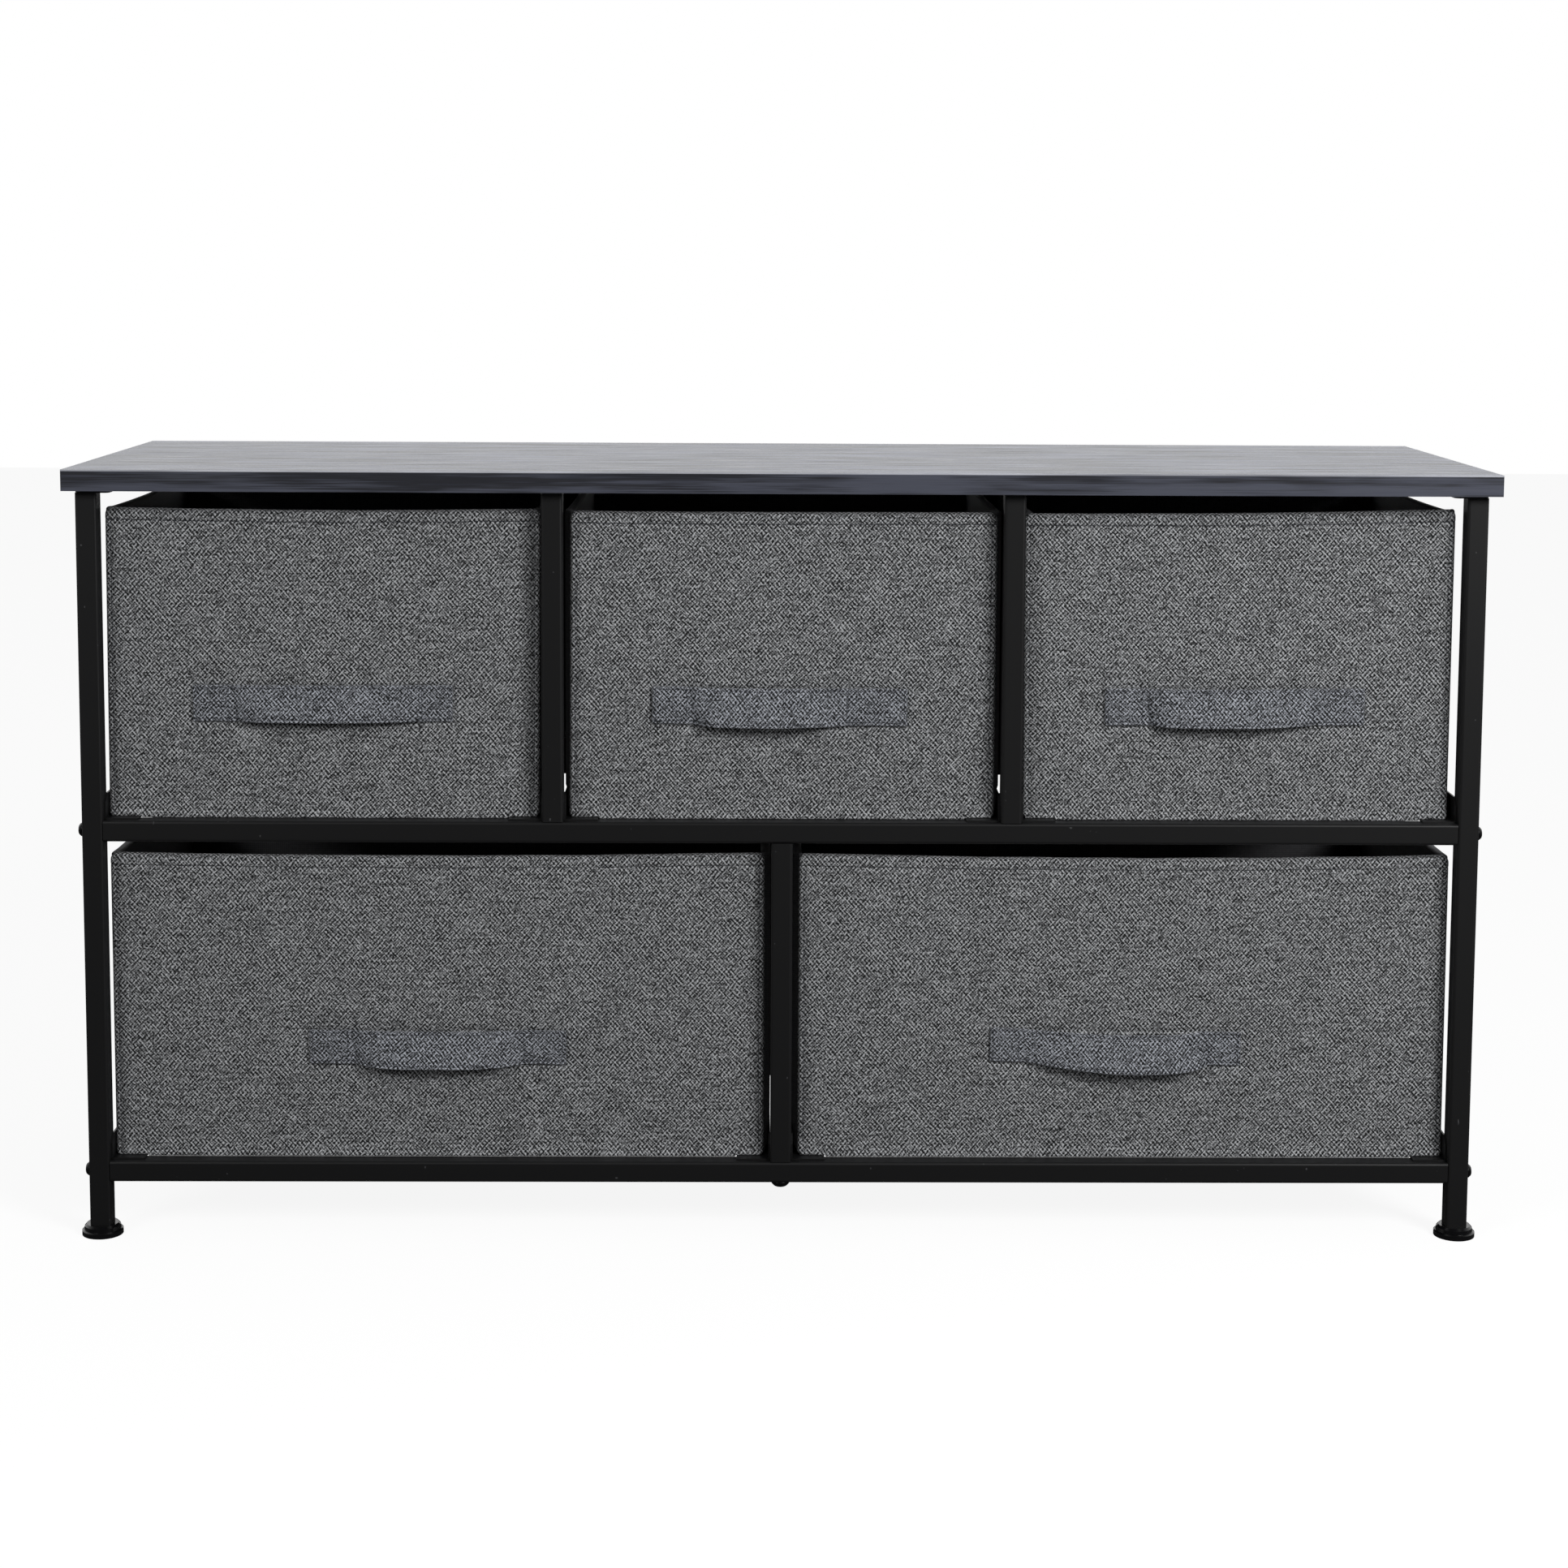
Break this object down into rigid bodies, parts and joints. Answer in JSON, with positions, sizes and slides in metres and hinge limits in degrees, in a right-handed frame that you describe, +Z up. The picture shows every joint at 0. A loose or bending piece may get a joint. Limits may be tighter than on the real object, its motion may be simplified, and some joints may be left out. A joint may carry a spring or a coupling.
{
  "type": "fabric drawer dresser",
  "caption": "Low wide dresser: dark wood-look board on a black steel tube frame, with pull-out fabric drawers in two rows, small ones above wide ones.",
  "frame": {"origin": "on the floor, under the middle of the board", "axes": "+X to the right of someone facing the drawers, +Y from the drawers' front to the back, +Z up"},
  "size_m": [1, 0.3, 0.55],
  "materials": {
    "board_laminate": "matt charcoal wood-grain laminate on fibreboard",
    "edge_band": "matt charcoal wood-grain edge strip",
    "frame_steel": "satin black powder coat",
    "foot_plastic": "glossy black moulding",
    "bolt_black": "black coated steel",
    "zinc_steel": "zinc plated",
    "peg_plastic": "matt black moulding",
    "drawer_cloth": "heather grey linen-look weave",
    "stiff_board": "raw grey-brown fibreboard"
  },
  "bodies": {
    "frame": {"top_panel": "board_laminate", "edge_banding": "edge_band", "crossbar_front_middle": "frame_steel", "crossbar_front_bottom": "frame_steel", "lower_post_front": "frame_steel", "leg_front_left": "frame_steel", "upper_post_front_left": "frame_steel", "leg_front_right": "frame_steel", "upper_post_front_right": "frame_steel", "crossbar_rear_middle": "frame_steel", "crossbar_rear_bottom": "frame_steel", "lower_post_rear": "frame_steel", "leg_rear_left": "frame_steel", "upper_post_rear_left": "frame_steel", "leg_rear_right": "frame_steel", "upper_post_rear_right": "frame_steel", "mounting_bar_left_legs": "frame_steel", "mounting_bar_left_posts": "frame_steel", "mounting_bar_right_legs": "frame_steel", "mounting_bar_right_posts": "frame_steel", "feet": "foot_plastic", "frame_bolts": "bolt_black", "threaded_inserts": "zinc_steel", "post_pegs": "peg_plastic", "board_screws": "zinc_steel", "upper_left_bay_runner_left": "frame_steel", "upper_left_bay_runner_right": "frame_steel", "upper_middle_bay_runner_left": "frame_steel", "upper_middle_bay_runner_right": "frame_steel", "upper_right_bay_runner_left": "frame_steel", "upper_right_bay_runner_right": "frame_steel", "lower_left_bay_runner_left": "frame_steel", "lower_left_bay_runner_right": "frame_steel", "lower_right_bay_runner_left": "frame_steel", "lower_right_bay_runner_right": "frame_steel"},
    "upper_left_drawer": {"upper_left_drawer_cloth": "drawer_cloth", "upper_left_drawer_stiffeners": "stiff_board", "upper_left_drawer_base_board": "stiff_board", "upper_left_drawer_handle": "drawer_cloth"},
    "upper_middle_drawer": {"upper_middle_drawer_cloth": "drawer_cloth", "upper_middle_drawer_stiffeners": "stiff_board", "upper_middle_drawer_base_board": "stiff_board", "upper_middle_drawer_handle": "drawer_cloth"},
    "upper_right_drawer": {"upper_right_drawer_cloth": "drawer_cloth", "upper_right_drawer_stiffeners": "stiff_board", "upper_right_drawer_base_board": "stiff_board", "upper_right_drawer_handle": "drawer_cloth"},
    "lower_left_drawer": {"lower_left_drawer_cloth": "drawer_cloth", "lower_left_drawer_stiffeners": "stiff_board", "lower_left_drawer_base_board": "stiff_board", "lower_left_drawer_handle": "drawer_cloth"},
    "lower_right_drawer": {"lower_right_drawer_cloth": "drawer_cloth", "lower_right_drawer_stiffeners": "stiff_board", "lower_right_drawer_base_board": "stiff_board", "lower_right_drawer_handle": "drawer_cloth"}
  },
  "joints": [
    {"name": "upper_left_drawer_slide", "type": "slide", "parent": "frame", "child": "upper_left_drawer", "axis": [0, -1, 0], "range_m": [0, 0.2]},
    {"name": "upper_middle_drawer_slide", "type": "slide", "parent": "frame", "child": "upper_middle_drawer", "axis": [0, -1, 0], "range_m": [0, 0.2]},
    {"name": "upper_right_drawer_slide", "type": "slide", "parent": "frame", "child": "upper_right_drawer", "axis": [0, -1, 0], "range_m": [0, 0.2]},
    {"name": "lower_left_drawer_slide", "type": "slide", "parent": "frame", "child": "lower_left_drawer", "axis": [0, -1, 0], "range_m": [0, 0.2]},
    {"name": "lower_right_drawer_slide", "type": "slide", "parent": "frame", "child": "lower_right_drawer", "axis": [0, -1, 0], "range_m": [0, 0.2]}
  ]
}
